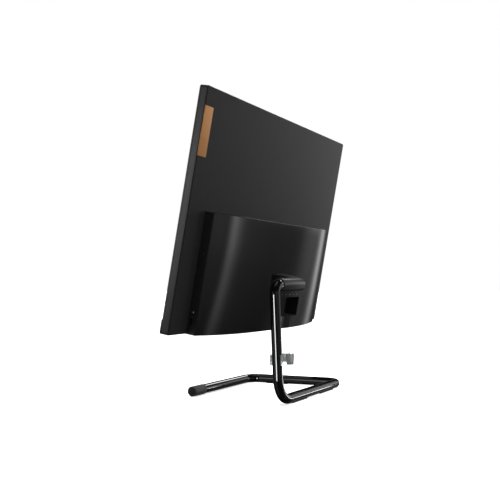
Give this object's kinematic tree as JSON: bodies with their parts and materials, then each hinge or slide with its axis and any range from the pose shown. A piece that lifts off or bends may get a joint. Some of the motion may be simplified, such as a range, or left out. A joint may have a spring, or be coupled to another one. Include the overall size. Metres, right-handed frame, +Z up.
{
  "type": "all in one computer",
  "caption": "Slim widescreen display with its computer in a curved rear housing, tilting on a hinge barrel carried by a stand bent from one round tube.",
  "frame": {"origin": "middle of the bounding box on the desk plane, under the display's middle", "axes": "+X to the right as seen from the front, along the display's width; the screen faces -Y; +Z up"},
  "size_m": [0.541, 0.205, 0.4397],
  "materials": {
    "bezel_plastic": "fine matt grain",
    "screen_glass": "dark anti-glare glass with a black border",
    "light_guide_acrylic": "clear acrylic",
    "led_board": "white coated strip",
    "pressed_steel": "zinc coated sheet",
    "matt_cover_plastic": "matt fine texture",
    "satin_housing_plastic": "satin, soft broad highlights",
    "bay_plastic": "black",
    "badge_metal": "copper coloured, lightly brushed, blank",
    "circuit_board": "green solder mask",
    "processor_package": "dark package",
    "copper": "bare copper",
    "fin_aluminium": "thin bare fins",
    "fan_plastic": "black moulded",
    "cell_steel": "bright steel",
    "socket_metal": "plated shells",
    "socket_plastic": "black moulded",
    "drive_metal": "cast and machined",
    "camera_plastic": "dark lens and holder",
    "shutter_plastic": "dull red",
    "button_plastic": "fine matt grain",
    "light_lens": "milky",
    "ribbon_film": "amber film",
    "screw_steel": "turned steel",
    "bracket_steel": "black coated plate",
    "barrel_metal": "satin black",
    "bush_bronze": "sintered bronze",
    "gloss_black_tube": "deep gloss black lacquer",
    "grey_rubber": "matt",
    "clear_grey_clip": "smoky translucent"
  },
  "bodies": {
    "stand": {"hinge_shaft": "screw_steel", "friction_washers": "screw_steel", "shaft_nut": "screw_steel", "tube_plug": "screw_steel", "stand_tube": "gloss_black_tube", "foot_sleeve": "grey_rubber", "base_pads": "grey_rubber"},
    "head": {"front_bezel": "bezel_plastic", "chin_cover": "bezel_plastic", "lcd_panel": "screen_glass", "light_guide": "light_guide_acrylic", "led_strip": "led_board", "lcd_back_plate": "pressed_steel", "main_chassis": "pressed_steel", "rear_cover": "matt_cover_plastic", "compute_cover": "satin_housing_plastic", "io_bay": "bay_plastic", "badge_plate": "badge_metal", "motherboard": "circuit_board", "processor": "processor_package", "cold_plate": "copper", "heat_pipe": "copper", "fin_stack": "fin_aluminium", "fan_housing": "fan_plastic", "memory_module_1": "circuit_board", "memory_module_2": "circuit_board", "solid_state_drive": "circuit_board", "wireless_card": "circuit_board", "coin_cell": "cell_steel", "io_board": "circuit_board", "power_inlet": "socket_plastic", "network_port": "socket_metal", "video_port": "socket_metal", "usb_ports": "socket_metal", "hard_drive": "drive_metal", "drive_bracket": "pressed_steel", "speaker_left": "fan_plastic", "speaker_right": "fan_plastic", "camera_module": "camera_plastic", "microphone_board": "circuit_board", "power_switch": "pressed_steel", "side_board": "circuit_board", "audio_jack": "socket_plastic", "side_port": "socket_metal", "activity_light": "light_lens", "antenna_left": "copper", "antenna_right": "copper", "display_cable": "ribbon_film", "board_screws": "screw_steel", "cover_screws": "screw_steel", "hinge_bracket": "bracket_steel", "hinge_screws": "screw_steel", "hinge_cover": "satin_housing_plastic", "hinge_barrel": "barrel_metal", "barrel_cap": "barrel_metal", "hinge_bushes": "bush_bronze"},
    "fan": {"fan_impeller": "fan_plastic"},
    "shutter": {"camera_shutter": "shutter_plastic"},
    "button": {"power_button": "button_plastic"},
    "clip": {"cable_clip": "clear_grey_clip"}
  },
  "joints": [
    {"name": "head_tilt", "type": "hinge", "parent": "stand", "child": "head", "pos_m": [0, 0.07585, 0.179], "axis": [-1, 0, 0], "range_deg": [-15.3, 9.7]},
    {"name": "fan_spin", "type": "hinge", "parent": "head", "child": "fan", "pos_m": [0.069, 0.03028, 0.22021], "axis": [0, 0.9839, -0.1788], "continuous": true},
    {"name": "shutter_slide", "type": "slide", "parent": "head", "child": "shutter", "axis": [-1, 0, 0], "range_m": [0, 0.008]},
    {"name": "button_press", "type": "slide", "parent": "head", "child": "button", "axis": [0, 0.1788, 0.9839], "range_m": [0, 0.0008], "stiffness_N_per_m": 900, "springref_m": -0.0008},
    {"name": "clip_turn", "type": "hinge", "parent": "stand", "child": "clip", "pos_m": [0.08359, 0.07585, 0.0693], "axis": [0.0924, 0, 0.9957], "continuous": true}
  ]
}
